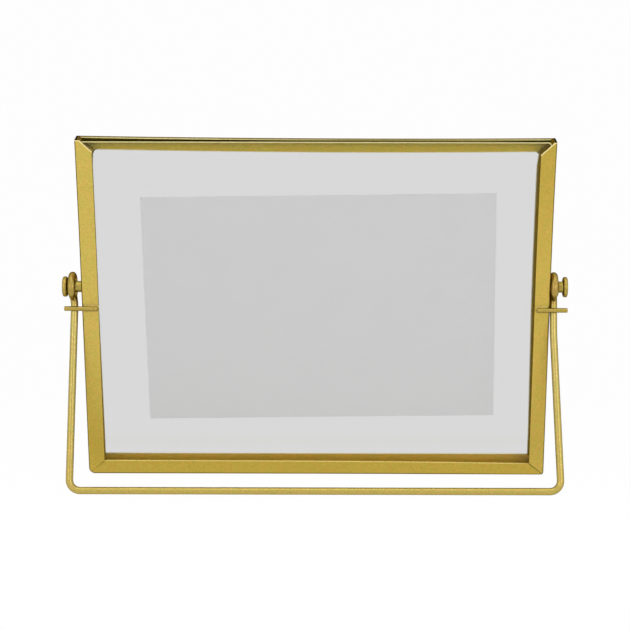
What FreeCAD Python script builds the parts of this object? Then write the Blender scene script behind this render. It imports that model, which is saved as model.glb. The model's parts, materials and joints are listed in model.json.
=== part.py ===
import FreeCAD, Part
import math
import os
import Sketcher

# Floating picture frame: a channel folded from sheet metal round two sides and the bottom, a flat strip
# across the top at the back, two panes that slide in from above with a card between them, and a bent
# wire stand that swings on two studs. X runs along the frame, -Y faces the side that carries the stand,
# +Z is up. Each piece is drawn upright, with the channel's front face on Y = 0 and its underside on
# Z = 0, and is then leaned so that the frame and the stand's foot both rest on Z = 0.

SIZES = {
    # folded channel
    "frame_width": 200.0,
    "frame_height": 150.0,
    "channel_depth": 8.5,
    "sheet_thickness": 0.9,
    "bend_radius": 0.7,           # outside of the folds
    "side_flange": 6.8,           # visible width of the side rails
    "end_flange": 6.3,            # visible width of the bottom rail
    "rear_flange": 6.7,           # height of the bottom rail's rear flange
    "left_corner_radius": 2.7,    # folded round
    "right_corner_radius": 1.5,   # closed with solder
    "left_tip": 1.8,              # flat left at the top of the front flange before its slanted cut
    "right_tip": 0.7,
    "left_cut": 4.5,              # from the rim down to the lower end of the slanted cut
    "right_cut": 5.9,
    "left_rise": 0.5,             # the left rail's upper end stands above the rim
    "right_drop": 0.5,            # and the right one's lies below it
    # strip across the top, a little narrower at its left end
    "left_strip_height": 5.0,
    "right_strip_height": 5.75,
    # solder fillets under the ends of the top strip
    "left_fillet_leg": 1.5,
    "right_fillet_leg": 0.8,
    # panes and card
    "pane_thickness": 2.0,
    "pane_chamfer": 0.2,
    "pane_corner_cut": 0.8,       # clears the round inside of the channel's corners
    "pane_rise": 0.1,             # from the rim up to the top edge of the panes
    "seat_play": 0.1,             # between a pane and the metal that it rests on
    "side_play": 0.2,             # between a pane and the peened tail of a stud
    "card_width": 150.0,
    "card_height": 100.0,
    "card_thickness": 0.25,
    "card_play": 0.1,             # between the card and the front pane
    "card_shift": 1.75,           # the card lies a little to the right of the middle
    "card_centre_height": 76.1,
    "card_tilt": 0.73,            # degrees, right side up
    # studs
    "pivot_height": 85.3,
    "spigot_diameter": 3.0,
    "neck_diameter": 4.8,
    "left_neck_length": 6.0,
    "right_neck_length": 5.6,
    "head_diameter": 8.4,
    "left_head_thickness": 2.3,
    "right_head_thickness": 1.9,
    "head_chamfer": 0.5,
    "tail_diameter": 4.4,
    "tail_height": 0.6,
    "tail_chamfer": 0.3,
    # stop pins
    "pin_diameter": 2.0,
    "pin_chamfer": 0.2,
    "pin_drop": 8.7,              # from the pivot down to the pin
    "pin_reach": 7.4,             # how far a pin stands out past the rail's side
    "left_pin_inset": 7.1,        # how far a pin lies across the rail
    "right_pin_inset": 5.6,
    "solder_film": 0.1,           # between pin and rail
    "solder_height": 0.7,
    "solder_width": 3.2,          # on the rail
    "solder_crest": 2.0,          # at the top of the bed
    "solder_margin": 0.3,         # the bed ends this far inside the pin's end
    # wire stand
    "wire_diameter": 3.1,
    "stand_length": 87.4,         # from the pivot to the middle of the foot, along a leg
    "left_foot_reach": 5.1,       # from the rail's side out to the middle of the leg, at the foot
    "right_foot_reach": 4.75,
    "foot_bend_radius": 4.5,
    "left_eye_gap": 0.4,          # between the left eye and the stud's head
    "right_eye_gap": 0.35,        # between the right eye and the rail
    "eye_radius": 4.8,
    "eye_mouth": 50.0,            # degrees between the leg and the free end
    "throat_radius": 3.0,         # the bend from the leg into the eye
    "leg_offset": 0.6,            # the leg runs this far behind the middle of the eye
    "end_taper": 3.0,
    "end_diameter": 1.6,
    "stop_play": 0.03,            # between the wire and a stop pin
}


def posture(size):
    """Places of the eyes, and angles and shifts at which the stand lies on its pins and all stands on Z = 0."""
    wire_radius = size["wire_diameter"] / 2
    pin_radius = size["pin_diameter"] / 2
    pivot_depth = size["channel_depth"] / 2
    # The leg's line passes the pin's middle at the sum of their radii.
    pin_forward = pivot_depth + pin_radius + size["solder_film"]
    passing = wire_radius + pin_radius + size["stop_play"] - size["leg_offset"]
    reach = math.hypot(pin_forward, size["pin_drop"])
    stop = math.acos(passing / reach) - math.atan2(size["pin_drop"], pin_forward)
    # The middle of the foot, and the lean that brings it as low as the channel's front fold.
    foot_y = pivot_depth + size["leg_offset"] * math.cos(stop) - size["stand_length"] * math.sin(stop)
    foot_z = size["pivot_height"] - size["leg_offset"] * math.sin(stop) - size["stand_length"] * math.cos(stop)
    fold = size["bend_radius"]
    across = foot_y - fold
    rise = foot_z - fold
    lean = math.atan2(across, rise) + math.acos((wire_radius - fold) / math.hypot(across, rise))
    drop = fold * (math.sin(lean) + math.cos(lean) - 1)
    foremost = foot_y * math.cos(lean) - foot_z * math.sin(lean) - wire_radius
    rearmost = (size["channel_depth"] - fold) * math.cos(lean) - fold * math.sin(lean) + fold
    half_width = size["frame_width"] / 2
    return {
        "left_eye_place": half_width + size["left_neck_length"] - wire_radius - size["left_eye_gap"],
        "right_eye_place": half_width + wire_radius + size["right_eye_gap"],
        "stop_angle": math.degrees(stop),
        "lean_angle": math.degrees(lean),
        "stance_y": -(foremost + rearmost) / 2,
        "stance_z": -drop,
    }


document = FreeCAD.newDocument("floating_frame")
sheet = document.addObject("Spreadsheet::Sheet", "Sizes")
size = dict(SIZES)
size.update(posture(SIZES))
for row, (alias, value) in enumerate(size.items(), start=1):
    sheet.set(f"A{row}", alias)
    sheet.set(f"B{row}", repr(round(value, 6)))
    sheet.setAlias(f"B{row}", alias)
document.recompute()

# Placements, as expressions on the sheet.
FRAME_PLACE = "placement(vector(0; Sizes.stance_y; Sizes.stance_z); rotation(vector(1; 0; 0); Sizes.lean_angle))"
PIVOT_PLACE = (FRAME_PLACE + " * placement(vector(0; Sizes.channel_depth / 2; Sizes.pivot_height);"
               " rotation(vector(1; 0; 0); 0))")

# Places that several pieces share, in the upright frame.
LEFT = "-Sizes.frame_width / 2"
RIGHT = "Sizes.frame_width / 2"
TOP = "Sizes.frame_height"
OVER_TOP = "Sizes.frame_height + Sizes.side_flange"
WALL = "Sizes.sheet_thickness"
REAR_INNER = "(Sizes.channel_depth - Sizes.sheet_thickness)"
INNER_LEFT = LEFT + " + Sizes.side_flange"
INNER_RIGHT = RIGHT + " - Sizes.side_flange"
STRIP_LEFT = TOP + " - Sizes.left_strip_height"
STRIP_RIGHT = TOP + " - Sizes.right_strip_height"
STRIP_SLOPE = ("(Sizes.left_strip_height - Sizes.right_strip_height)"
               " / (Sizes.frame_width - 2 * Sizes.side_flange)")

parts = {}


def new_body(label):
    """An empty body whose label is the piece's name."""
    body = document.addObject("PartDesign::Body", label)
    body.Label = label
    return body


def origin_plane(body, role):
    """One of the body's own origin planes."""
    return next(plane for plane in body.Origin.OriginFeatures if plane.Role == role)


def new_sketch(body, name, role, offset):
    """A sketch on an origin plane, moved along the plane's normal by an expression."""
    sketch = body.newObject("Sketcher::SketchObject", name)
    sketch.AttachmentSupport = (origin_plane(body, role), "")
    sketch.MapMode = "FlatFace"
    sketch.setExpression("AttachmentOffset.Base.z", offset)
    return sketch


def pin_point(sketch, geometry, position, across, up):
    """Hold one point of a sketch at two expressions, measured from the origin."""
    for kind, expression in (("DistanceX", across), ("DistanceY", up)):
        index = sketch.addConstraint(Sketcher.Constraint(kind, -1, 1, geometry, position, 1.0))
        sketch.setExpression(f"Constraints[{index}]", expression)


def polygon(sketch, corners):
    """A closed outline through corners that are pairs of expressions."""
    count = len(corners)
    rough = [FreeCAD.Vector(math.cos(2 * math.pi * i / count), math.sin(2 * math.pi * i / count), 0) * 10
             for i in range(count)]
    for i in range(count):
        sketch.addGeometry(Part.LineSegment(rough[i], rough[(i + 1) % count]), False)
    for i in range(count):
        sketch.addConstraint(Sketcher.Constraint("Coincident", i, 2, (i + 1) % count, 1))
        pin_point(sketch, i, 1, *corners[i])


def rectangle(sketch, left, right, bottom, top):
    """A rectangle between four expressions."""
    polygon(sketch, [(left, bottom), (right, bottom), (right, top), (left, top)])


def circle(sketch, across, up, diameter):
    """A circle with its middle and diameter given as expressions."""
    index = sketch.addGeometry(Part.Circle(FreeCAD.Vector(10, 10, 0), FreeCAD.Vector(0, 0, 1), 1), False)
    pin_point(sketch, index, 3, across, up)
    constraint = sketch.addConstraint(Sketcher.Constraint("Diameter", index, 2.0))
    sketch.setExpression(f"Constraints[{constraint}]", diameter)


def extrude(body, kind, name, sketch, length, backwards):
    """A pad or a pocket of a sketch by an expression."""
    feature = body.newObject(kind, name)
    feature.Profile = sketch
    feature.setExpression("Length", length)
    feature.Reversed = backwards
    document.recompute()
    return feature


def pad(body, name, sketch, length, backwards=False):
    return extrude(body, "PartDesign::Pad", name, sketch, length, backwards)


def pocket(body, name, sketch, length, backwards=False):
    """A pocket that has to take something away."""
    before = body.Shape.Volume
    feature = extrude(body, "PartDesign::Pocket", name, sketch, length, backwards)
    if not feature.Shape.Volume < before - 1e-6:
        raise RuntimeError(name + " cuts nothing")
    return feature


def dress(body, kind, name, size_name, expression, chosen):
    """A fillet or a chamfer on the edges that a test picks."""
    base = body.Tip
    names = [f"Edge{i}" for i, edge in enumerate(base.Shape.Edges, start=1) if chosen(edge)]
    feature = body.newObject(kind, name)
    feature.Base = (base, names)
    feature.setExpression(size_name, expression)
    document.recompute()
    return feature


def fillet(body, name, radius, chosen):
    return dress(body, "PartDesign::Fillet", name, "Radius", radius, chosen)


def chamfer(body, name, width, chosen):
    return dress(body, "PartDesign::Chamfer", name, "Size", width, chosen)


def near(a, b):
    return abs(a - b) < 1e-4


def keep(piece, name, place):
    """File a finished piece under its name and put it in its place."""
    piece.Label = name
    piece.setExpression("Placement", place)
    parts[name] = piece


# ---------------------------------------------------------------- folded channel

def flange_opening(sill, left_tip, right_tip, left_cut, right_cut):
    """Outline of the opening in one flange face: the window, widened to the rim by two slanted cuts."""
    return [(INNER_LEFT, sill),
            (INNER_RIGHT, sill),
            (INNER_RIGHT, TOP + " - " + right_cut),
            (RIGHT + " - " + right_tip, TOP + " - Sizes.right_drop"),
            (RIGHT + " - " + right_tip, OVER_TOP),
            (LEFT + " + " + left_tip, OVER_TOP),
            (LEFT + " + " + left_tip, TOP + " + Sizes.left_rise"),
            (INNER_LEFT, TOP + " - " + left_cut)]


def folded_channel():
    """The channel in one piece: two sides and the bottom, open above."""
    body = new_body("folded_channel")
    outline = new_sketch(body, "channel_outline", "XZ_Plane", "0")
    polygon(outline, [(LEFT, "0"), (RIGHT, "0"),
                      (RIGHT, TOP + " - Sizes.right_drop"), (LEFT, TOP + " + Sizes.left_rise")])
    pad(body, "channel_block", outline, "Sizes.channel_depth", backwards=True)

    half_width = size["frame_width"] / 2
    depth = size["channel_depth"]
    height = size["frame_height"]

    def lower_corner(edge, side):
        middle = edge.CenterOfMass
        return near(middle.x, side * half_width) and near(middle.z, 0) and near(middle.y, depth / 2)

    fillet(body, "left_corner", "Sizes.left_corner_radius", lambda edge: lower_corner(edge, -1))
    fillet(body, "right_corner", "Sizes.right_corner_radius", lambda edge: lower_corner(edge, 1))

    def folded(edge):
        box = edge.BoundBox
        flat = near(box.YMin, box.YMax) and (near(box.YMin, 0) or near(box.YMin, depth))
        return flat and box.ZMin < height / 2

    fillet(body, "folds", "Sizes.bend_radius", folded)

    hollow = new_sketch(body, "hollow_outline", "XZ_Plane", "-" + WALL)
    rectangle(hollow, LEFT + " + " + WALL, RIGHT + " - " + WALL, WALL, OVER_TOP)
    pocket(body, "hollow", hollow, "Sizes.channel_depth - 2 * " + WALL)

    def hollow_corner(edge, side):
        middle = edge.CenterOfMass
        inner = side * (half_width - size["sheet_thickness"])
        return near(middle.x, inner) and near(middle.z, size["sheet_thickness"]) and near(middle.y, depth / 2)

    fillet(body, "left_hollow_corner", "Sizes.left_corner_radius - " + WALL,
           lambda edge: hollow_corner(edge, -1))
    fillet(body, "right_hollow_corner", "Sizes.right_corner_radius - " + WALL,
           lambda edge: hollow_corner(edge, 1))

    front = new_sketch(body, "front_opening_outline", "XZ_Plane", "0")
    polygon(front, flange_opening("Sizes.end_flange", "Sizes.left_tip", "Sizes.right_tip",
                                  "Sizes.left_cut", "Sizes.right_cut"))
    pocket(body, "front_opening", front, WALL)

    rear = new_sketch(body, "rear_opening_outline", "XZ_Plane", "-" + REAR_INNER)
    polygon(rear, flange_opening("Sizes.rear_flange", WALL, WALL,
                                 "Sizes.left_strip_height", "Sizes.right_strip_height"))
    pocket(body, "rear_opening", rear, WALL)

    holes = new_sketch(body, "spigot_hole_outline", "YZ_Plane", "-Sizes.frame_width")
    circle(holes, "Sizes.channel_depth / 2", "Sizes.pivot_height", "Sizes.spigot_diameter")
    pocket(body, "spigot_holes", holes, "2 * Sizes.frame_width", backwards=True)
    return body


def rails():
    """The channel parted at its two mitres into the three rails."""
    channel = folded_channel()
    # A wedge that narrows along the two mitres, through the outer corners and the window's lower ones.
    slant = "Sizes.side_flange * Sizes.rear_flange / Sizes.end_flange"
    wedge = document.addObject("Part::Wedge", "bottom_wedge")
    for name, expression in (("Ymin", "-Sizes.rear_flange"), ("Ymax", "Sizes.rear_flange"),
                             ("Xmin", LEFT + " - " + slant), ("Xmax", RIGHT + " + " + slant),
                             ("X2min", LEFT + " + " + slant), ("X2max", RIGHT + " - " + slant),
                             ("Zmin", "-2 * Sizes.channel_depth"), ("Zmax", "Sizes.channel_depth"),
                             ("Z2min", "-2 * Sizes.channel_depth"), ("Z2max", "Sizes.channel_depth")):
        wedge.setExpression(name, expression)
    wedge.Placement = FreeCAD.Placement(FreeCAD.Vector(), FreeCAD.Rotation(FreeCAD.Vector(1, 0, 0), 90))

    bottom = document.addObject("Part::Common", "bottom_rail")
    bottom.Base = channel
    bottom.Tool = wedge
    keep(bottom, "bottom_rail", FRAME_PLACE)

    sides = document.addObject("Part::Cut", "side_rails")
    sides.Base = channel
    sides.Tool = wedge
    for name, start in (("left_rail", "-Sizes.frame_width"), ("right_rail", "0")):
        half = document.addObject("Part::Box", name + "_half")
        half.setExpression("Length", "Sizes.frame_width")
        half.setExpression("Width", "2 * Sizes.channel_depth")
        half.setExpression("Height", "2 * Sizes.frame_height")
        half.setExpression("Placement.Base.x", start)
        half.setExpression("Placement.Base.y", "-Sizes.channel_depth / 2")
        half.setExpression("Placement.Base.z", "-Sizes.frame_height / 2")
        rail = document.addObject("Part::Common", name)
        rail.Base = sides
        rail.Tool = half
        keep(rail, name, FRAME_PLACE)


def top_strip():
    """Flat strip behind the panes, its ends cut to the slant of the side rails' rear flanges."""
    body = new_body("top_strip")
    outline = new_sketch(body, "strip_outline", "XZ_Plane", "-" + REAR_INNER)
    polygon(outline, [(INNER_LEFT, STRIP_LEFT), (INNER_RIGHT, STRIP_RIGHT),
                      (RIGHT + " - " + WALL, TOP + " - Sizes.right_drop"),
                      (LEFT + " + " + WALL, TOP + " + Sizes.left_rise")])
    pad(body, "strip", outline, WALL, backwards=True)
    keep(body, "top_strip", FRAME_PLACE)


def corner_solder(name, corner, inward, start, leg):
    """Three-cornered solder fillet in an inner corner under the top strip."""
    body = new_body(name)
    outline = new_sketch(body, name + "_outline", "XZ_Plane", "-" + REAR_INNER)
    polygon(outline, [(corner, start), (corner + inward + leg, start + inward + STRIP_SLOPE + " * " + leg),
                      (corner, start + " - " + leg)])
    pad(body, name + "_fill", outline, WALL, backwards=True)
    keep(body, name, FRAME_PLACE)


# ---------------------------------------------------------------- studs and stop pins

def stud(name, sign, neck_length, head_thickness):
    """Turned stud along X: peened tail, spigot in the web, neck for the eye and a round head."""
    body = new_body(name)
    profile = new_sketch(body, name + "_profile", "XY_Plane", "0")
    neck_end = "Sizes.frame_width / 2 + Sizes." + neck_length
    head_face = neck_end + " + Sizes." + head_thickness
    stations = [("Sizes.frame_width / 2 - Sizes.sheet_thickness - Sizes.tail_height", "0"),
                ("Sizes.frame_width / 2 - Sizes.sheet_thickness - Sizes.tail_height", "Sizes.tail_diameter / 2"),
                ("Sizes.frame_width / 2 - Sizes.sheet_thickness", "Sizes.tail_diameter / 2"),
                ("Sizes.frame_width / 2 - Sizes.sheet_thickness", "Sizes.spigot_diameter / 2"),
                ("Sizes.frame_width / 2", "Sizes.spigot_diameter / 2"),
                ("Sizes.frame_width / 2", "Sizes.neck_diameter / 2"),
                (neck_end, "Sizes.neck_diameter / 2"),
                (neck_end, "Sizes.head_diameter / 2"),
                (head_face, "Sizes.head_diameter / 2"),
                (head_face, "0")]
    polygon(profile, [(f"{sign} * ({along})", radius) for along, radius in stations])
    turned = body.newObject("PartDesign::Revolution", name + "_turned")
    turned.Profile = profile
    turned.ReferenceAxis = (profile, ["H_Axis"])
    turned.Angle = 360
    document.recompute()

    head_start = size["frame_width"] / 2 + size[neck_length]
    head_end = head_start + size[head_thickness]
    tail_end = size["frame_width"] / 2 - size["sheet_thickness"] - size["tail_height"]

    def rim(edge, place, radius):
        return isinstance(edge.Curve, Part.Circle) and near(abs(edge.Curve.Center.x), place) \
            and near(edge.Curve.Radius, radius)

    chamfer(body, name + "_head_rim", "Sizes.head_chamfer",
            lambda edge: rim(edge, head_end, size["head_diameter"] / 2)
            or rim(edge, head_start, size["head_diameter"] / 2))
    chamfer(body, name + "_tail_rim", "Sizes.tail_chamfer",
            lambda edge: rim(edge, tail_end, size["tail_diameter"] / 2))
    keep(body, name, PIVOT_PLACE)


PIN_DEPTH = "-(Sizes.pin_diameter / 2 + Sizes.solder_film)"
PIN_HEIGHT = "(Sizes.pivot_height - Sizes.pin_drop)"


def stop_pin(name, start, inset):
    """Rod soldered across a side rail's front face, standing out past the rail in the wire's way."""
    body = new_body(name)
    section = new_sketch(body, name + "_section", "YZ_Plane", start)
    circle(section, PIN_DEPTH, PIN_HEIGHT, "Sizes.pin_diameter")
    pad(body, name + "_rod", section, "Sizes.pin_reach + " + inset)
    chamfer(body, name + "_ends", "Sizes.pin_chamfer", lambda edge: isinstance(edge.Curve, Part.Circle))
    keep(body, name, FRAME_PLACE)


def pin_solder(name, start, inset):
    """Solder bed under a stop pin, hollowed by the pin."""
    body = new_body(name)
    section = new_sketch(body, name + "_section", "YZ_Plane", start)
    foot = "Sizes.solder_width / 2"
    crest = "Sizes.solder_crest / 2"
    polygon(section, [("0", PIN_HEIGHT + " - " + foot), ("0", PIN_HEIGHT + " + " + foot),
                      ("-Sizes.solder_height", PIN_HEIGHT + " + " + crest),
                      ("-Sizes.solder_height", PIN_HEIGHT + " - " + crest)])
    length = inset + " - Sizes.bend_radius - Sizes.solder_margin"
    pad(body, name + "_bed", section, length)
    groove = new_sketch(body, name + "_groove", "YZ_Plane", start)
    circle(groove, PIN_DEPTH, PIN_HEIGHT, "Sizes.pin_diameter")
    pocket(body, name + "_seat", groove, length, backwards=True)
    keep(body, name, FRAME_PLACE)


# ---------------------------------------------------------------- panes and card

FRONT_PANE_DEPTH = "Sizes.sheet_thickness + Sizes.seat_play"
CARD_DEPTH = "(" + FRONT_PANE_DEPTH + " + Sizes.pane_thickness + Sizes.card_play)"
REAR_PANE_DEPTH = "(" + CARD_DEPTH + " + Sizes.card_thickness)"


def pane(name, depth):
    """Glass pane that stands on the bottom rail between the side rails, with broken edges."""
    body = new_body(name)
    outline = new_sketch(body, name + "_outline", "XZ_Plane", "-(" + depth + ")")
    side = "(Sizes.frame_width / 2 - Sizes.sheet_thickness - Sizes.tail_height - Sizes.side_play)"
    rectangle(outline, "-" + side, side,
              "Sizes.sheet_thickness + Sizes.seat_play", TOP + " + Sizes.pane_rise")
    pad(body, name + "_plate", outline, "Sizes.pane_thickness", backwards=True)
    chamfer(body, name + "_corners", "Sizes.pane_corner_cut",
            lambda edge: near(edge.BoundBox.YLength, size["pane_thickness"]))
    chamfer(body, name + "_arris", "Sizes.pane_chamfer",
            lambda edge: near(edge.BoundBox.YLength, 0))
    keep(body, name, FRAME_PLACE)


def picture_card():
    """Card between the panes, lying a little askew."""
    body = new_body("picture_card")
    outline = new_sketch(body, "card_outline", "XZ_Plane", "0")
    rectangle(outline, "-Sizes.card_width / 2", "Sizes.card_width / 2",
              "-Sizes.card_height / 2", "Sizes.card_height / 2")
    pad(body, "card", outline, "Sizes.card_thickness", backwards=True)
    keep(body, "picture_card", FRAME_PLACE + " * placement(vector(Sizes.card_shift; " + CARD_DEPTH
         + "; Sizes.card_centre_height); rotation(vector(0; 1; 0); -Sizes.card_tilt))")


# ---------------------------------------------------------------- wire stand

def half_stand_path(side, eye_place, foot_place):
    """Edges of one half of the wire's middle line, from the free end of the eye to the middle of the foot."""
    eye_radius = size["eye_radius"]
    throat = size["throat_radius"]
    offset = size["leg_offset"]
    eye = FreeCAD.Vector(side * eye_place, 0, 0)
    corner = FreeCAD.Vector(side * foot_place, 0, -size["stand_length"])
    down = (corner - eye).normalize()

    def spot(along, forward):
        return eye + down * along + FreeCAD.Vector(0, -forward, 0)

    def on_eye(angle):
        return spot(eye_radius * math.cos(angle), eye_radius * math.sin(angle))

    # The throat's arc touches the leg's line and the eye's circle from outside.
    throat_along = math.sqrt((eye_radius + throat) ** 2 - (offset + throat) ** 2)
    touch = math.atan2(-(offset + throat), throat_along)
    mouth = math.radians(size["eye_mouth"]) - 2 * math.pi
    leg_top = spot(throat_along, -offset)
    throat_middle = spot(throat_along, -(offset + throat))
    halfway = ((leg_top - throat_middle) + (on_eye(touch) - throat_middle)).normalize()
    bend_middle = throat_middle + halfway * throat
    eye_arc = Part.Arc(on_eye(mouth), on_eye((mouth + touch) / 2), on_eye(touch))
    throat_arc = Part.Arc(on_eye(touch), bend_middle, leg_top)

    # The foot's corner: an arc that touches the leg and the foot.
    bend = size["foot_bend_radius"]
    corner = corner + FreeCAD.Vector(0, offset, 0)
    inward = FreeCAD.Vector(-side, 0, 0)
    opening = (-down).getAngle(inward)
    tangent = bend / math.tan(opening / 2)
    bisector = (inward - down).normalize()
    arc_middle = corner + bisector * (bend / math.sin(opening / 2) - bend)
    leg_end = corner - down * tangent
    foot_start = corner + inward * tangent
    foot_arc = Part.Arc(leg_end, arc_middle, foot_start)
    foot_middle = FreeCAD.Vector(0, offset, -size["stand_length"])
    edges = [eye_arc.toShape(), throat_arc.toShape(), Part.LineSegment(leg_top, leg_end).toShape(),
             foot_arc.toShape(), Part.LineSegment(foot_start, foot_middle).toShape()]
    free_end = on_eye(mouth)
    outward = (down * math.sin(mouth) + FreeCAD.Vector(0, math.cos(mouth), 0)).normalize()
    return edges, free_end, outward


def wire_stand():
    """Round wire swept along its middle line, with a tapered free end at each eye."""
    wire_radius = size["wire_diameter"] / 2
    half_width = size["frame_width"] / 2
    left, left_end, left_outward = half_stand_path(-1, size["left_eye_place"],
                                                   half_width + size["left_foot_reach"])
    right, right_end, right_outward = half_stand_path(1, size["right_eye_place"],
                                                      half_width + size["right_foot_reach"])
    path = Part.Wire(Part.__sortEdges__(left + right))
    section = Part.Wire(Part.makeCircle(wire_radius, left_end, left_outward))
    swept = path.makePipeShell([section], True, False)
    expected = math.pi * wire_radius ** 2 * path.Length
    if abs(swept.Volume - expected) > 0.01 * expected:
        raise RuntimeError("the wire's sweep has the wrong volume")
    for end, outward in ((left_end, left_outward), (right_end, right_outward)):
        swept = swept.fuse(Part.makeCone(wire_radius, size["end_diameter"] / 2, size["end_taper"], end, outward))
    stand = document.addObject("Part::Feature", "wire_stand")
    stand.Shape = swept.removeSplitter().Solids[0]
    keep(stand, "wire_stand", PIVOT_PLACE
         + " * placement(vector(0; 0; 0); rotation(vector(1; 0; 0); -Sizes.stop_angle))")


rails()
top_strip()
corner_solder("left_corner_solder", INNER_LEFT, " + ", STRIP_LEFT, "Sizes.left_fillet_leg")
corner_solder("right_corner_solder", INNER_RIGHT, " - ", STRIP_RIGHT, "Sizes.right_fillet_leg")
stud("left_stud", -1, "left_neck_length", "left_head_thickness")
stud("right_stud", 1, "right_neck_length", "right_head_thickness")
stop_pin("left_stop_pin", LEFT + " - Sizes.pin_reach", "Sizes.left_pin_inset")
stop_pin("right_stop_pin", RIGHT + " - Sizes.right_pin_inset", "Sizes.right_pin_inset")
pin_solder("left_pin_solder", LEFT + " + Sizes.bend_radius", "Sizes.left_pin_inset")
pin_solder("right_pin_solder", RIGHT + " - Sizes.right_pin_inset + Sizes.solder_margin", "Sizes.right_pin_inset")
pane("front_glass", FRONT_PANE_DEPTH)
pane("rear_glass", REAR_PANE_DEPTH)
picture_card()
wire_stand()
document.recompute()

for piece in document.Objects:
    if "Invalid" in piece.State or "Error" in piece.State:
        raise RuntimeError(f"{piece.Label} failed: {piece.State}")
for name, piece in parts.items():
    if piece.Shape.isNull() or not piece.Shape.isValid() or len(piece.Shape.Solids) != 1:
        raise RuntimeError(name + " is not one valid solid")

os.makedirs("parts", exist_ok=True)
for name, piece in parts.items():
    piece.Shape.exportStep(os.path.join("parts", name + ".step"))

print("stop angle %.2f, lean %.2f degrees" % (size["stop_angle"], size["lean_angle"]))
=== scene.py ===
import json
import math

import bmesh
import bpy
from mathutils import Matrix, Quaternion, Vector, noise


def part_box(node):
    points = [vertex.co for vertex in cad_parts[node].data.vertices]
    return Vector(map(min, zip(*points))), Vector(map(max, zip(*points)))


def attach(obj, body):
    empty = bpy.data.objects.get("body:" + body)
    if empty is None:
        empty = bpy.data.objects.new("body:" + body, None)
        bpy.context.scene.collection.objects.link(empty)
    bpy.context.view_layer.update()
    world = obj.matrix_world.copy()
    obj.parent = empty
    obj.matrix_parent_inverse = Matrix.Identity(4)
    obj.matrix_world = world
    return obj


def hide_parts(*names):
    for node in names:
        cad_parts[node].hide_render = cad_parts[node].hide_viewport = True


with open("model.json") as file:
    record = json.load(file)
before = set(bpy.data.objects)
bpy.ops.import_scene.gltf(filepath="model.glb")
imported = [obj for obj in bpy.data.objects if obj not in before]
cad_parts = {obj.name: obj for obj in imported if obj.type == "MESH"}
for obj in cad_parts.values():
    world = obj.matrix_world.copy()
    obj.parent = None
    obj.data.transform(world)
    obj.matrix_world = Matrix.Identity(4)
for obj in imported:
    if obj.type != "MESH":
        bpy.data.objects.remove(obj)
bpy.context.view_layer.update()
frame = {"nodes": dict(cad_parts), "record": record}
nodes = frame["nodes"]
record = frame["record"]
MM = 0.001


# ---------------------------------------------------------------- places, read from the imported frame

joints = {joint["name"]: joint for joint in record["behaviour"]["joints"]}
mounts = {mount["name"]: mount for mount in record["mounts"]}
UP = Vector(joints["front_pane_slide"]["axis"]).normalized()      # up along the leaning frame
DEEP = Vector((0, UP.z, -UP.y))                                   # from its front face to its rear face
ACROSS = Vector((1, 0, 0))
PIVOT = Vector(joints["stand_swing"]["pos_m"])
UNDERSIDE = Vector(mounts["rest_face"]["pos_m"])                  # middle of the bottom rail's underside

# sizes in millimetres, as the frame is drawn
HALF_WIDTH = 100.0
TOP = 150.0
CHANNEL_DEPTH = 8.5
SHEET = 0.9
FOLD_RADIUS = 0.7
SIDE_FLANGE = 6.8
FRONT_SILL = 6.3
REAR_SILL = 7.0
SILL_FALL = 1.15              # the front sill is this much lower at its right end
CORNER_DROOP = 0.35           # the front of the right lower corner hangs this much
SEAM_REACH = 2.9              # the open seam of a mitre starts this far in
SPREAD_FROM = 90.0            # the open top has spread a little from this height up
STRIP_SAG = 0.6
PIVOT_HEIGHT = 85.3
PIN_RADIUS = 1.0
PIN_FILM = 0.1
PIN_DROP = 8.7
PIN_REACH = 7.4
SOLDER_REACH = 1.6            # to each side of a pin's middle
NECK_RADIUS = 2.4
HEAD_RADIUS = 4.35
SPIGOT_RADIUS = 1.5
TAIL_RADIUS = 2.2
TAIL_HEIGHT = 0.6
PANE_THICKNESS = 2.0
PANE_FOOT = 1.0
PANE_RISE = 0.1
PANE_SET = (0.36, 0.74)       # the panes have settled this much below their full height, left and right
PANE_ARRIS = 0.35
WIRE_RADIUS = 1.57
STAND_LENGTH = 87.28
FOOT_BEND = 4.5
EYE_RADIUS = 4.8
EYE_MOUTH = math.radians(50)
THROAT_RADIUS = 3.0
LEG_OFFSET = 0.6
END_TAPER = 3.0
END_RADIUS = 0.8
WIRE_SIDES = 28
WAVER_SEED = 7
# flat worn on the back of the left leg, where it meets its stop pin when the stand is swung right round
WEAR_DEPTH = 0.38
WEAR_ALONG = 9.4
WEAR_REACH = 1.3
PANE_CORNER_CUT = 0.8
PANE_PLAY = 0.2               # between a pane's side and the tails of the studs
FRONT_PANE_DEPTH = 1.0
REAR_PANE_DEPTH = 3.35
REAR_FLANGE_LOW = 20.0        # the rear flange has its own width from here, fully so after REAR_FLANGE_RISE
REAR_FLANGE_RISE = 55.0
FLANGE_TOP = 143.5            # highest straight station of a side rail
REAR_FLANGE_FADE = 5.5        # below that station, over which the rear flange narrows to its cut
SMOOTH_ANGLE = math.radians(32)

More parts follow.
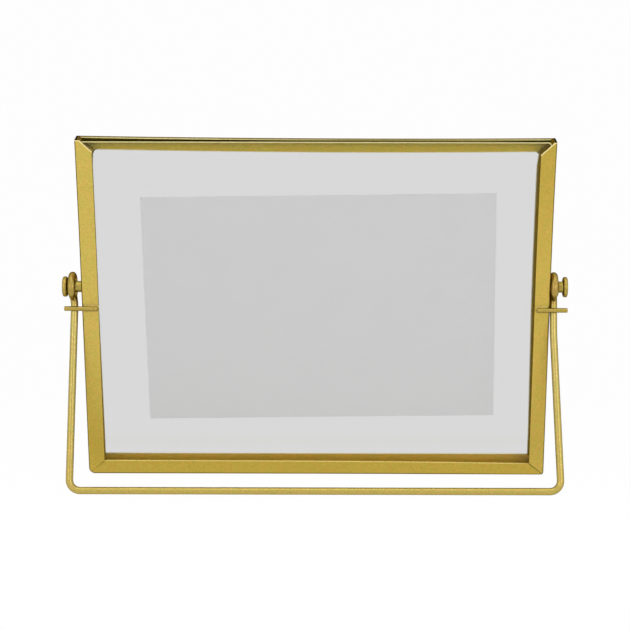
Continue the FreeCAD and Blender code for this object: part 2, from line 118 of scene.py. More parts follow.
# what differs between the left and the right side
LEFT_SIDE = {
    "side": -1, "corner": 2.7, "tip": 1.8, "cut": 4.5, "end": TOP + 0.5, "strip": 5.1, "spread": 0.3, "lip": 0.15,
    "front_extra": 0.35, "rear_extra": -0.45, "seam": 0.06, "pin_inset": 6.9, "pin_lift": 0.5, "pin_tilt": 0.10,
    "neck": 6.3, "head": 2.0, "eye": 104.15, "leg_top": 103.35, "leg_from": 9.0, "foot": 105.3, "fillet": 1.5,
}
RIGHT_SIDE = {
    "side": 1, "corner": 1.5, "tip": 0.9, "cut": 5.9, "end": TOP - 0.5, "strip": 6.15, "spread": 0.5, "lip": 0.3,
    "front_extra": -0.2, "rear_extra": 0.6, "seam": 0.22, "pin_inset": 5.6, "pin_lift": 0.0, "pin_tilt": 0.0,
    "neck": 5.6, "head": 1.9, "eye": 101.75, "leg_top": 101.68, "leg_from": 20.0, "foot": 104.8, "fillet": 0.8,
}
SIDES = {"left": LEFT_SIDE, "right": RIGHT_SIDE}


def on_frame(across, depth, height):
    """A point of the leaning frame, in millimetres from the middle of its front bottom edge, as metres."""
    return UNDERSIDE + (ACROSS * across + DEEP * (depth - CHANNEL_DEPTH / 2) + UP * height) * MM


foot_low, foot_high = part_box("wire_stand")
CAD_WIRE_RADIUS = 1.55
FOOT_MIDDLE = Vector((0, foot_low.y + CAD_WIRE_RADIUS * MM, foot_low.z + CAD_WIRE_RADIUS * MM))
# The stand's own axes: along the legs, and from the legs towards the side it swings out on.
to_foot = FOOT_MIDDLE - PIVOT
foot_turn = math.atan2(LEG_OFFSET, STAND_LENGTH)
stand_turn = math.atan2(-to_foot.y, -to_foot.z) + foot_turn
LEGWARD = Vector((0, -math.sin(stand_turn), -math.cos(stand_turn)))
FORWARD = Vector((0, -math.cos(stand_turn), math.sin(stand_turn)))


def on_stand(across, along, forward):
    """A point of the swung stand, in millimetres from the pivot's middle, as metres."""
    return PIVOT + (ACROSS * across + LEGWARD * along + FORWARD * forward) * MM


# ---------------------------------------------------------------- materials

def new_material(name):
    material = bpy.data.materials.new(name)
    material.use_nodes = True
    tree = material.node_tree
    return material, tree, tree.nodes["Principled BSDF"]


def link(tree, source, target):
    tree.links.new(source, target)


def place_axes(tree, coordinates="Object"):
    """The parts X, Y and Z of a place, on the piece's own coordinates or, in the world, of a direction."""
    place = tree.nodes.new("ShaderNodeTexCoord")
    axes = tree.nodes.new("ShaderNodeSeparateXYZ")
    link(tree, place.outputs[coordinates], axes.inputs[0])
    return axes.outputs


def combined(tree, operation, first, second):
    """Two values put together by a sum, a product or the like; either may be a plain number."""
    node = tree.nodes.new("ShaderNodeMath")
    node.operation = operation
    for socket, value in zip(node.inputs, (first, second)):
        if isinstance(value, (int, float)):
            socket.default_value = value
        else:
            link(tree, value, socket)
    return node.outputs[0]


def noise_texture(tree, scale, detail, roughness=0.5):
    """3-D noise on the piece's own coordinates."""
    place = tree.nodes.new("ShaderNodeTexCoord")
    texture = tree.nodes.new("ShaderNodeTexNoise")
    texture.inputs["Scale"].default_value = scale
    texture.inputs["Detail"].default_value = detail
    texture.inputs["Roughness"].default_value = roughness
    link(tree, place.outputs["Object"], texture.inputs["Vector"])
    return texture.outputs["Fac"]


def ramp(tree, source, low, high, from_value, to_value):
    """A value turned from one range into another, held at its ends."""
    node = tree.nodes.new("ShaderNodeMapRange")
    node.inputs["From Min"].default_value = low
    node.inputs["From Max"].default_value = high
    node.inputs["To Min"].default_value = from_value
    node.inputs["To Max"].default_value = to_value
    link(tree, source, node.inputs["Value"])
    return node.outputs["Result"]


def mix_color(tree, factor, first, second):
    node = tree.nodes.new("ShaderNodeMix")
    node.data_type = "RGBA"
    link(tree, factor, node.inputs[0])
    for socket, value in ((node.inputs[6], first), (node.inputs[7], second)):
        if isinstance(value, tuple):
            socket.default_value = (*value, 1)
        else:
            link(tree, value, socket)
    return node.outputs[2]


def multiplied(tree, first, second):
    node = tree.nodes.new("ShaderNodeMix")
    node.data_type = "RGBA"
    node.blend_type = "MULTIPLY"
    node.inputs[0].default_value = 1.0
    link(tree, first, node.inputs[6])
    link(tree, second, node.inputs[7])
    return node.outputs[2]


def bump(tree, height, strength, distance):
    node = tree.nodes.new("ShaderNodeBump")
    node.inputs["Strength"].default_value = strength
    node.inputs["Distance"].default_value = distance
    link(tree, height, node.inputs["Height"])
    return node.outputs["Normal"]


MOTTLE_SCALE, PATCH_SCALE, SHINE_SCALE, GRAIN_SCALE = 1700, 330, 900, 2600
GRAIN_DEPTH = 0.00003
GREEN_PATCH, WARM_PATCH = (0.955, 1.0, 0.90), (1.045, 0.975, 0.97)
UNTINTED = (1.0, 1.0, 1.0)


def satin_brass(name, light, dark, smooth=0.38, rough=0.50, grain=0.35, metal=0.7, rim=(0.75, 0.60, 0.30), painted_light_by_height=()):
    """Gold-coloured finish: a fine mottle, warm and green patches, an uneven satin shine, and painted light and
    shade by height.

    Each height entry is a height where it starts, a height where it is full, and what the colour is multiplied by.
    """
    material, tree, shader = new_material(name)
    mottle = ramp(tree, noise_texture(tree, MOTTLE_SCALE, 3, 0.6), 0.35, 0.68, 0, 1)
    patches = ramp(tree, noise_texture(tree, PATCH_SCALE, 4, 0.6), 0.38, 0.62, 0, 1)
    color = multiplied(tree, mix_color(tree, mottle, dark, light), mix_color(tree, patches, GREEN_PATCH, WARM_PATCH))
    height = place_axes(tree)["Z"]
    # Painted light and shade: the colour made lighter or darker by height.
    for start, full, factor in painted_light_by_height:
        share = ramp(tree, height, start, full, 0, 1)
        color = multiplied(tree, color, mix_color(tree, share, UNTINTED, factor))
    shine = ramp(tree, noise_texture(tree, SHINE_SCALE, 4), 0.3, 0.7, smooth, rough)
    link(tree, color, shader.inputs["Base Color"])
    link(tree, shine, shader.inputs["Roughness"])
    link(tree, bump(tree, noise_texture(tree, GRAIN_SCALE, 3, 0.65), grain, GRAIN_DEPTH), shader.inputs["Normal"])
    shader.inputs["Specular Tint"].default_value = (*rim, 1)
    shader.inputs["Metallic"].default_value = metal
    shader.inputs["Specular IOR Level"].default_value = 0.15
    return material


def clear_glass():
    """Faintly grey glass that bends what is seen through it and lets the lamps' light through."""
    material, tree, shader = new_material("clear_glass")
    shader.inputs["Base Color"].default_value = (0.96, 0.96, 0.96, 1)
    shader.inputs["Roughness"].default_value = 0.0
    shader.inputs["IOR"].default_value = 1.2
    shader.inputs["Transmission Weight"].default_value = 1.0
    path = tree.nodes.new("ShaderNodeLightPath")
    clear = tree.nodes.new("ShaderNodeBsdfTransparent")
    clear.inputs["Color"].default_value = (0.93, 0.93, 0.93, 1)
    blend = tree.nodes.new("ShaderNodeMixShader")
    link(tree, path.outputs["Is Shadow Ray"], blend.inputs[0])
    link(tree, shader.outputs[0], blend.inputs[1])
    link(tree, clear.outputs[0], blend.inputs[2])
    link(tree, blend.outputs[0], tree.nodes["Material Output"].inputs["Surface"])
    return material


# The painted reflection in the middle of a pane's edge fades in and out over these.
REFLECTION_FROM, REFLECTION_TO = (-0.035, -0.008), (0.090, 0.068)      # the paler middle of an edge fades in and out over these


def glass_edge(name, color, roughness, middle=None):
    """Cut edge of a pane, deep green and faintly uneven; the middle of its length may be paler, a painted
    reflection.
    """
    material, tree, shader = new_material(name)
    streak = noise_texture(tree, 400, 3)
    dim = tuple(value * 0.6 for value in color)
    tone = mix_color(tree, streak, dim, color)
    if middle:
        across = place_axes(tree)["X"]
        from_left = ramp(tree, across, *REFLECTION_FROM, 0, 1)
        from_right = ramp(tree, across, *REFLECTION_TO, 0, 1)
        tone = mix_color(tree, combined(tree, "MULTIPLY", from_left, from_right), tone, middle)
    link(tree, tone, shader.inputs["Base Color"])
    shader.inputs["Roughness"].default_value = roughness
    shader.inputs["Specular IOR Level"].default_value = 0.0
    return material


def card_paper():
    """Plain matt card with a barely uneven tooth."""
    material, tree, shader = new_material("card_paper")
    tooth = noise_texture(tree, 3500, 3)
    link(tree, mix_color(tree, tooth, (0.74, 0.74, 0.74), (0.785, 0.785, 0.785)), shader.inputs["Base Color"])
    link(tree, bump(tree, tooth, 0.15, 0.00002), shader.inputs["Normal"])
    shader.inputs["Roughness"].default_value = 0.75
    return material


DARK_RIM = (0.02, 0.012, 0.001)
TURNED = {"smooth": 0.24, "rough": 0.36, "grain": 0.25, "metal": 0.95, "rim": DARK_RIM}
DRAWN = {"smooth": 0.26, "rough": 0.38, "grain": 0.25, "metal": 0.95, "rim": DARK_RIM}
DULL = {"smooth": 0.45, "rough": 0.60, "grain": 0.3}
# Near-matt finish of the painted highlights.
GLINT_FINISH = {"smooth": 0.35, "rough": 0.45, "grain": 0.2, "metal": 0.1}

# Brass of the left and bottom rails, darker and more saturated towards the bottom: painted shade.
RAIL_BRASS = satin_brass("rail_brass", (0.69, 0.535, 0.133), (0.565, 0.425, 0.090),
                         painted_light_by_height=[(0.06, 0.015, (0.87, 0.83, 0.62))])
# A darker copy of the rail brass for the right rail, lighter from about 95 mm down and a little darker again near
# the bottom: painted shade and light.
SHADED_RIGHT_RAIL_BRASS = satin_brass("shaded_right_rail_brass", (0.59, 0.43, 0.086), (0.484, 0.344, 0.059),
                               painted_light_by_height=[(0.135, 0.095, (1.126, 1.137, 1.30)), (0.06, 0.02, (0.965, 0.98, 0.955))])
STUD_BRASS = satin_brass("stud_brass", (0.50, 0.38, 0.10), (0.385, 0.285, 0.063), **TURNED)
# On the wire, painted light and shade by height: more yellow towards the foot, darker and more orange over the upper
# part of the eyes.
WIRE_BRASS = satin_brass("wire_brass", (0.57, 0.455, 0.160), (0.45, 0.36, 0.102), **DRAWN,
                         painted_light_by_height=[(0.05, 0.004, (1.02, 0.985, 0.84)), (0.0765, 0.0795, (0.84, 0.76, 0.64))])
SOLDER = satin_brass("solder", (0.60, 0.47, 0.14), (0.44, 0.34, 0.09), smooth=0.40, rough=0.55, grain=0.5)
# A brighter, more orange copy of the brass for the inside of the bottom rail behind the glass: painted light.
LIT_INNER_BRASS = satin_brass("lit_inner_brass", (1.0, 0.63, 0.065), (0.88, 0.54, 0.04), **DULL, metal=0.35)
# The insides of the side rails: a brighter copy of the brass on the left, with painted shade near its top, and a
# darker copy on the right: painted light and shade.
LIT_LEFT_CHEEK_BRASS = satin_brass("lit_left_cheek_brass", (0.95, 0.66, 0.17), (0.75, 0.50, 0.11), **DULL, metal=0.3,
                               painted_light_by_height=[(0.1455, 0.1475, (0.45, 0.42, 0.35))])
SHADED_RIGHT_CHEEK_BRASS = satin_brass("shaded_right_cheek_brass", (0.54, 0.355, 0.028), (0.41, 0.265, 0.018), **DULL, metal=0.6,
                                rim=DARK_RIM)
# Brass of the top strip, darker near its top just under the panes' tops: painted shade.
STRIP_BRASS = satin_brass("strip_brass", (0.74, 0.56, 0.07), (0.56, 0.42, 0.042),
                          painted_light_by_height=[(0.1458, 0.1482, (0.64, 0.67, 0.90))])
# Dark brass on folds, sheet edges, beside the mitre seams and on the strip's edges: painted shade.
SHADED_EDGE_BRASS = satin_brass("shaded_edge_brass", (0.27, 0.20, 0.04), (0.19, 0.14, 0.025), metal=0.95, rim=DARK_RIM)
# Very dark brass at the strip's ends and on a band of its front just below the top: painted shade.
STRIP_SHADE_BRASS = satin_brass("strip_shade_brass", (0.13, 0.10, 0.012), (0.08, 0.06, 0.007), metal=0.9, rim=DARK_RIM)
# Paler brass on the bottom rail's cut edges: the bare cut, brightened with a painted highlight.
CUT_GLINT_BRASS = satin_brass("cut_glint_brass", (0.86, 0.69, 0.23), (0.75, 0.585, 0.17), smooth=0.25, rough=0.35, grain=0.2,
                        metal=0.5)
# Pale brass on the cut tops of the side rails, where the cut is bare, and on a band near the top of the strip's
# front: painted highlight.
GLINT_BRASS = satin_brass("glint_brass", (1.0, 0.89, 0.46), (0.94, 0.80, 0.35), **GLINT_FINISH)
# Palest brass on the rear flange's lip and low on the strip's front: painted highlight.
PALE_GLINT_BRASS = satin_brass("pale_glint_brass", (1.0, 0.93, 0.62), (0.94, 0.84, 0.50), **GLINT_FINISH)
SEAM_DARK = satin_brass("seam_dark", (0.03, 0.022, 0.004), (0.012, 0.009, 0.001), smooth=0.7, rough=0.9, grain=0.2,
                        metal=1.0, rim=DARK_RIM)
GLASS = clear_glass()
GLASS_EDGE = glass_edge("glass_edge", (0.035, 0.028, 0.001), 0.6)
# The rear pane's edges, paler across the middle: a painted reflection of the strip above.
REAR_GLASS_EDGE = glass_edge("rear_glass_edge", (0.035, 0.028, 0.001), 0.6, (0.20, 0.17, 0.045))
# Pale yellow on the front pane's front arris: painted highlight.
ARRIS_GLINT = glass_edge("arris_glint", (0.85, 0.74, 0.36), 0.5)
PAPER = card_paper()

LEFT_SIDE.update(face=RAIL_BRASS, inside=LIT_LEFT_CHEEK_BRASS)
RIGHT_SIDE.update(face=SHADED_RIGHT_RAIL_BRASS, inside=SHADED_RIGHT_CHEEK_BRASS)


def dress(name, material):
    """Give a CAD node its finish."""
    mesh = nodes[name].data
    mesh.materials.clear()
    mesh.materials.append(material)


# ---------------------------------------------------------------- folded rails

def finished(name, mesh_maker, materials, node, body="frame"):
    """Make a piece of a closed mesh, round where it is round, and file it with its body."""
    mesh_maker.normal_update()
    bmesh.ops.remove_doubles(mesh_maker, verts=mesh_maker.verts, dist=1e-7)
    bmesh.ops.recalc_face_normals(mesh_maker, faces=mesh_maker.faces)
    mesh = bpy.data.meshes.new(name)
    mesh_maker.to_mesh(mesh)
    mesh_maker.free()
    for material in materials:
        mesh.materials.append(material)
    mesh.shade_smooth()
    mesh.set_sharp_from_angle(angle=SMOOTH_ANGLE)
    piece = bpy.data.objects.new(name, mesh)
    bpy.context.collection.objects.link(piece)
    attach(piece, body)
    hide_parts(node)
    return piece


def skin(maker, rings, slot_of, closed=True):
    """Faces between rings of points; slot_of(row, column) gives each face's material."""
    rows = [[maker.verts.new(point) for point in ring] for ring in rings]
    count = len(rows[0])
    for row, (low, high) in enumerate(zip(rows, rows[1:])):
        for column in range(count if closed else count - 1):
            after = (column + 1) % count
            face = maker.faces.new((low[column], low[after], high[after], high[column]))
            face.material_index = slot_of(row, column)
    return rows


def spread(side, height):
    """How far the open top of a side has spread outwards."""
    rise = max(0.0, (height - SPREAD_FROM) / (TOP - SPREAD_FROM))
    return side["side"] * side["spread"] * rise ** 2


def sheet_profile(front_width, rear_width, front_stop, lip):
    """Outer and inner points of the folded sheet in pairs, as distance inward and depth, from tip to tip."""
    chamfer = 0.12
    arc = [math.radians(18 * step) for step in range(6)]
    outer = [(front_width, chamfer), (front_width - chamfer, 0), (SEAM_REACH, 0), (front_stop, 0)]
    outer += [(FOLD_RADIUS * (1 - math.sin(turn)), FOLD_RADIUS * (1 - math.cos(turn))) for turn in arc]
    rear_arc = reversed(arc)
    outer += [(FOLD_RADIUS * (1 - math.sin(turn)), CHANNEL_DEPTH - FOLD_RADIUS * (1 - math.cos(turn)))
              for turn in rear_arc]
    outer += [(SHEET, CHANNEL_DEPTH), (rear_width - lip, CHANNEL_DEPTH), (rear_width, CHANNEL_DEPTH - chamfer)]
    inner = [(max(inward, SHEET), SHEET if depth < CHANNEL_DEPTH / 2 else CHANNEL_DEPTH - SHEET)
             for inward, depth in outer]
    return outer, inner


# Slots: plain faces; painted shade on folds and edges; painted highlights on cut edges; mitre seams, and on the
# strip painted shade; the inside; painted highlights on the lips.
FLAT, SHADED_EDGE, CUT_GLINT, SEAM_AND_SHADE, INNER, PALE_GLINT = range(6)


def rail_slots(profile_length, cut_slot, folds):
    """Materials around a rail: flat faces, folds darkened with painted shade, a painted highlight on the rear
    flange's lip, the inside, and the sheet's two cut edges.
    """
    slots = [cut_slot] + [FLAT] * (8 - folds) + [SHADED_EDGE] * folds + [FLAT] + [SHADED_EDGE] * 4 + [FLAT] * 3 + [PALE_GLINT]
    return slots + [PALE_GLINT] * 2 + [INNER] * (profile_length - 2) + [cut_slot]


def rail(name, stations, front_stop, lip, finish, cut_slot, end_slots):
    """Folded sheet along a run of stations, closed at both ends between its outer and inner faces."""
    outer, inner = sheet_profile(SIDE_FLANGE, SIDE_FLANGE, front_stop, lip)
    rings = []
    for place in stations:
        ring = [place(inward, depth, True) for inward, depth in outer]
        ring += [place(inward, depth, False) for inward, depth in reversed(inner)]
        rings.append(ring)
    slots = rail_slots(len(outer), cut_slot, 5 if cut_slot == CUT_GLINT else 4)
    maker = bmesh.new()
    last = len(rings) - 2

    def slot_of(row, column):
        """The first and the last row carry the finish of their end, on the front face."""
        if column < len(outer) // 2 and row in (0, last):
            end = end_slots[0 if row == 0 else 1]
            return SHADED_EDGE if end == SEAM_AND_SHADE and column > 1 else end
        if slots[column] == PALE_GLINT and row in (0, 1, last):
            return SHADED_EDGE
        return slots[column]

    rows = skin(maker, rings, slot_of)
    for row, end in ((rows[0], end_slots[0]), (rows[-1], end_slots[1])):
        for step in range(len(outer) - 1):
            corners = (row[step], row[step + 1], row[-2 - step], row[-1 - step])
            face = maker.faces.new(corners)
            face.material_index = CUT_GLINT if end == CUT_GLINT and step < 3 else SEAM_AND_SHADE
    return finished(name + "_folded", maker, finish, name)


def widened(side, inward, front, height):
    """A distance inward on a flange that is a little wider or narrower than it was cut."""
    if front:
        extra = side["front_extra"]
    else:
        from_below = max(0.0, (height - REAR_FLANGE_LOW) / REAR_FLANGE_RISE)
        from_above = max(0.0, (FLANGE_TOP - height) / REAR_FLANGE_FADE)
        extra = side["rear_extra"] * min(1.0, from_below, from_above)
    return inward + extra * max(0.0, inward - SHEET) / (SIDE_FLANGE - SHEET)


def side_station(side, height):
    """Straight part of a side rail."""
    def place(inward, depth, outside):
        inward = widened(side, inward, depth < CHANNEL_DEPTH / 2, height)
        return on_frame(side["side"] * (HALF_WIDTH - inward) + spread(side, height), depth, height)
    return place


def side_end(side, lower=0.0):
    """Upper end of a side rail: square across the side, slanted across both flanges."""
    def place(inward, depth, outside):
        front = depth < CHANNEL_DEPTH / 2
        stop = side["tip"] if front else SHEET
        foot = TOP - (side["cut"] if front else side["strip"])
        share = max(0.0, inward - stop) / (SIDE_FLANGE - stop)
        height = side["end"] + (foot - side["end"]) * share - lower
        inward = widened(side, inward, front, TOP)
        return on_frame(side["side"] * (HALF_WIDTH - inward) + spread(side, height), depth, height)
    return place


def front_sill(across):
    """Height of the front sill's upper edge, a little lower towards the right."""
    return FRONT_SILL - SILL_FALL * ((across + HALF_WIDTH) / (2 * HALF_WIDTH)) ** 3


def drooped(across, depth, height):
    """A point of the bottom, with the front of the right corner hanging slightly."""
    share = max(0.0, across / HALF_WIDTH) ** 2 * max(0.0, 1 - height / FRONT_SILL) * (1 - depth / CHANNEL_DEPTH)
    return on_frame(across, depth, height - CORNER_DROOP * share)


def corner_station(side, turn, slide=0.0, sink=0.0):
    """Part of a folded lower corner; the flanges run from its arc to the window's corner."""
    radius = side["corner"]
    outward = Vector((side["side"] * math.cos(turn), -math.sin(turn)))
    middle = Vector((side["side"] * (HALF_WIDTH - radius), radius))

    def place(inward, depth, outside):
        front = depth < CHANNEL_DEPTH / 2
        across = side["side"] * (HALF_WIDTH - widened(side, SIDE_FLANGE, front, 0))
        window = Vector((across, front_sill(across) if front else REAR_SILL))
        if slide > 0:
            window.y += slide
        else:
            window.x += side["side"] * slide
        if inward <= SHEET:
            spot = middle + outward * (radius - inward)
        else:
            start = middle + outward * (radius - SHEET)
            spot = start.lerp(window, (inward - SHEET) / (SIDE_FLANGE - SHEET))
        if front and outside and depth < sink:
            depth = sink
        return drooped(spot.x, depth, spot.y)
    return place


def sill_station(across):
    """Straight part of the bottom rail."""
    def place(inward, depth, outside):
        sill = front_sill(across) if depth < CHANNEL_DEPTH / 2 else REAR_SILL
        if inward > SHEET:
            inward = SHEET + (inward - SHEET) * (sill - SHEET) / (SIDE_FLANGE - SHEET)
        return drooped(across, depth, inward)
    return place


MITRE = math.radians(45)


def corner_turns(side, first, slide):
    """Even steps round a corner, from a rail's straight part to the brink of the mitre's groove."""
    brink = MITRE - slide / side["corner"]
    steps = 5
    return [corner_station(side, first + (brink - first) * step / steps, slide) for step in range(steps + 1)]


def side_rail(name, side):
    groove = side["seam"]
    heights = [FLANGE_TOP, 138, 130, 120, 110, 100, SPREAD_FROM, 75, REAR_FLANGE_LOW, REAR_SILL]
    stations = [side_end(side), side_end(side, 0.4)] + [side_station(side, height) for height in heights]
    stations += corner_turns(side, 0.0, groove)
    stations.append(corner_station(side, MITRE, sink=groove))
    end = SEAM_AND_SHADE if groove > 0.1 else SHADED_EDGE
    finish = [side["face"], SHADED_EDGE_BRASS, GLINT_BRASS, SEAM_DARK, side["inside"], PALE_GLINT_BRASS]
    return rail(name, stations, side["tip"], side["lip"], finish, SHADED_EDGE, (CUT_GLINT, end))


def bottom_rail():
    left, right = LEFT_SIDE, RIGHT_SIDE
    stations = [corner_station(left, MITRE, sink=left["seam"])]
    stations += reversed(corner_turns(left, math.radians(90), -left["seam"]))
    window = HALF_WIDTH - SIDE_FLANGE
    stations += [sill_station(across) for across in (-window, -60, -30, 0, 30, 60, window)]
    stations += corner_turns(right, math.radians(90), -right["seam"])
    stations.append(corner_station(right, MITRE, sink=right["seam"]))
    finish = [RAIL_BRASS, SHADED_EDGE_BRASS, CUT_GLINT_BRASS, SEAM_DARK, LIT_INNER_BRASS, PALE_GLINT_BRASS]
    return rail("bottom_rail", stations, SHEET, 0.15, finish, CUT_GLINT, (SHADED_EDGE, SEAM_AND_SHADE))


def top_strip():
    """Strip across the top, hung a little, with broken edges; each end is a dark slit of painted shade."""
    chamfer = 0.13
    rear = CHANNEL_DEPTH - SHEET
    rings = []
    steps = 40
    shares = [0, 0.0022] + [step / steps for step in range(1, steps)] + [0.9978, 1]
    for share in shares:
        sag = STRIP_SAG * 4 * share * (1 - share)
        high = LEFT_SIDE["end"] + (RIGHT_SIDE["end"] - LEFT_SIDE["end"]) * share - sag
        low = TOP - LEFT_SIDE["strip"] + (LEFT_SIDE["strip"] - RIGHT_SIDE["strip"]) * share - 1.3 * sag
        high_reach = HALF_WIDTH - SHEET
        low_reach = HALF_WIDTH - SIDE_FLANGE
        out = LEFT_SIDE["spread"] * -(1 - share) + RIGHT_SIDE["spread"] * share
        high_across = -high_reach + 2 * high_reach * share + out
        low_across = -low_reach + 2 * low_reach * share + out
        corners = [(low_across, rear, low, 1), (low_across, CHANNEL_DEPTH, low, 1),
                   (high_across, CHANNEL_DEPTH, high, -1), (high_across, rear, high, -1)]
        ring = []
        for step, (across, depth, height, inward) in enumerate(corners):
            towards = 1 if depth == rear else -1
            along_depth = (across, depth + towards * chamfer, height)
            along_height = (across, depth, height + inward * chamfer)
            pair = (along_height, along_depth) if step % 2 == 0 else (along_depth, along_height)
            ring += [on_frame(a, d, h) for a, d, h in pair]
        slope = (high_across - low_across) / (high - low)
        for height in (high - 0.3, high - 0.72, high - 1.5, low + 0.35):
            ring.append(on_frame(low_across + (height - low) * slope, rear, height))
        rings.append(ring)
    # Around the strip: painted highlights low on its front and on a band near its top, painted shade on its edges,
    # its top and a band just below that highlight, and its back plain.
    around = [PALE_GLINT, SHADED_EDGE, SHADED_EDGE, FLAT, SHADED_EDGE, SHADED_EDGE, SHADED_EDGE, SHADED_EDGE, CUT_GLINT, SEAM_AND_SHADE, FLAT, PALE_GLINT]
    last = len(rings) - 2
    maker = bmesh.new()
    rows = skin(maker, rings, lambda row, column: SEAM_AND_SHADE if row in (0, last) else around[column])
    for row in (rows[0], rows[-1]):
        maker.faces.new(row).material_index = SEAM_AND_SHADE
    finish = [STRIP_BRASS, SHADED_EDGE_BRASS, GLINT_BRASS, STRIP_SHADE_BRASS, STRIP_BRASS, PALE_GLINT_BRASS]
    return finished("top_strip_hung", maker, finish, "top_strip")


def corner_fillet(name, side):
    """Solder run into the corner under the strip, hollow along its free side."""
    leg = side["fillet"]
    corner = Vector((side["side"] * (HALF_WIDTH - SIDE_FLANGE), TOP - side["strip"]))
    inward = Vector((-side["side"], 0))
    down = Vector((0, -1))
    outline = [corner - inward * 0.3 - down * 0.3, corner + inward * leg - down * 0.3]
    turns = [math.radians(90 * step / 8) for step in range(9)]
    centre = corner + inward * leg + down * leg
    outline += [centre - inward * leg * math.sin(turn) - down * leg * math.cos(turn) for turn in turns]
    outline.append(corner + down * leg - inward * 0.3)
    maker = bmesh.new()
    levels = [(CHANNEL_DEPTH - SHEET - 0.06, 0.92), (CHANNEL_DEPTH - SHEET, 1.0), (CHANNEL_DEPTH - 0.05, 1.0)]
    rings = [[on_frame(*((corner + (spot - corner) * size).x, depth, (corner + (spot - corner) * size).y))
              for spot in outline] for depth, size in levels]
    rows = skin(maker, rings, lambda row, column: 0)
    maker.faces.new(rows[0])
    maker.faces.new(rows[-1])
    return finished(name + "_run", maker, [SOLDER], name)


# ---------------------------------------------------------------- studs, stop pins and their solder

def rounded(place, radius, round_radius, away, steps=5):
    """Quarter round at the rim of a turned piece; away is the way that its face looks along the axis."""
    points = []
    for step in range(steps + 1):
        turn = math.radians(90 * step / steps)
        points.append((place - away * round_radius * (1 - math.cos(turn)),
                       radius - round_radius * (1 - math.sin(turn))))
    return points


def turned(name, middle, axis, profile, materials, node, slots=None, sides=48):
    """Closed piece turned about an axis from stations of place and radius, in millimetres."""
    first = axis.orthogonal().normalized()
    second = axis.cross(first)
    maker = bmesh.new()
    rings = []
    for place, radius in profile:
        ring = []
        for step in range(sides):
            turn = 2 * math.pi * step / sides
            spoke = first * math.cos(turn) + second * math.sin(turn)
            ring.append(middle + (axis * place + spoke * max(radius, 0.001)) * MM)
        rings.append(ring)
    rows = skin(maker, rings, lambda row, column: slots[row] if slots else 0)
    for row in (rows[0], rows[-1]):
        maker.faces.new(row)
    return finished(name, maker, materials, node)


def stud(name, side):
    """Turned stud: peened tail, spigot, neck with a small root round, and a head with soft rims."""
    neck_end = HALF_WIDTH + side["neck"]
    head_end = neck_end + side["head"]
    tail_end = HALF_WIDTH - SHEET - TAIL_HEIGHT
    profile = [(tail_end, 0.0), (tail_end, TAIL_RADIUS - 0.6), (tail_end + 0.12, TAIL_RADIUS - 0.25),
               (tail_end + 0.35, TAIL_RADIUS), (HALF_WIDTH - SHEET, TAIL_RADIUS),
               (HALF_WIDTH - SHEET, SPIGOT_RADIUS), (HALF_WIDTH, SPIGOT_RADIUS), (HALF_WIDTH, NECK_RADIUS),
               (neck_end - 0.3, NECK_RADIUS), (neck_end - 0.08, NECK_RADIUS + 0.1), (neck_end, NECK_RADIUS + 0.35)]
    rim = min(0.75, side["head"] * 0.42)
    inner_rim = rounded(neck_end, HEAD_RADIUS, rim, -1)
    profile += inner_rim + [(place, radius) for place, radius in reversed(rounded(head_end, HEAD_RADIUS, rim, 1))]
    profile += [(head_end + 0.06, HEAD_RADIUS * 0.45), (head_end + 0.08, 0.0)]
    return turned(name + "_turned", PIVOT, ACROSS * side["side"], profile, [STUD_BRASS], name)


def pin_middle(side, inward):
    """Middle of a stop pin at a distance inward from the rail's side."""
    lift = side["pin_lift"] - side["pin_tilt"] * (inward + 3.9) / 8
    return on_frame(side["side"] * (HALF_WIDTH - inward), -(PIN_RADIUS + PIN_FILM), PIVOT_HEIGHT - PIN_DROP + lift)


def stop_pin(name, side):
    """Cut rod across the rail's face, its ends broken."""
    start, end = pin_middle(side, side["pin_inset"]), pin_middle(side, -PIN_REACH)
    axis = (end - start).normalized()
    length = (end - start).length / MM
    profile = [(0, 0), (0, PIN_RADIUS - 0.18), (0.18, PIN_RADIUS), (length - 0.22, PIN_RADIUS),
               (length, PIN_RADIUS - 0.22), (length, 0)]
    return turned(name + "_rod", start, axis, profile, [STUD_BRASS], name, sides=32)


def pin_solder(name, side):
    """Thin solder drawn in along both sides of a pin, with hollow flanks and ragged ends."""
    inner, outer = side["pin_inset"] + 0.35, FOLD_RADIUS + 0.1
    steps, flank = 28, 8
    rings = []
    for step in range(steps + 1):
        share = step / steps
        fade = max(0.02, 1 - abs(2 * share - 1) ** 7) ** 0.5
        inward = inner + (outer - inner) * share
        middle = pin_middle(side, inward)
        ragged = 1 + 0.16 * noise.noise(Vector((inward * 0.9, side["side"] * 3.1, 0.4)))
        reach = SOLDER_REACH * ragged * (0.75 + 0.25 * fade)
        ring = []
        for turn in range(2 * flank + 1):
            across = turn / flank - 1
            rise = 0.95 * fade * (1 - abs(across)) ** 1.5
            ring.append(middle + (UP * across * reach + DEEP * (PIN_RADIUS + PIN_FILM - rise)) * MM)
        ring.append(middle + (UP * reach + DEEP * (PIN_RADIUS + PIN_FILM + 0.04)) * MM)
        ring.append(middle + (UP * -reach + DEEP * (PIN_RADIUS + PIN_FILM + 0.04)) * MM)
        rings.append(ring)
    maker = bmesh.new()
    rows = skin(maker, rings, lambda row, column: 0)
    maker.faces.new(rows[0])
    maker.faces.new(rows[-1])
    return finished(name + "_run", maker, [SOLDER], name)


# ---------------------------------------------------------------- panes

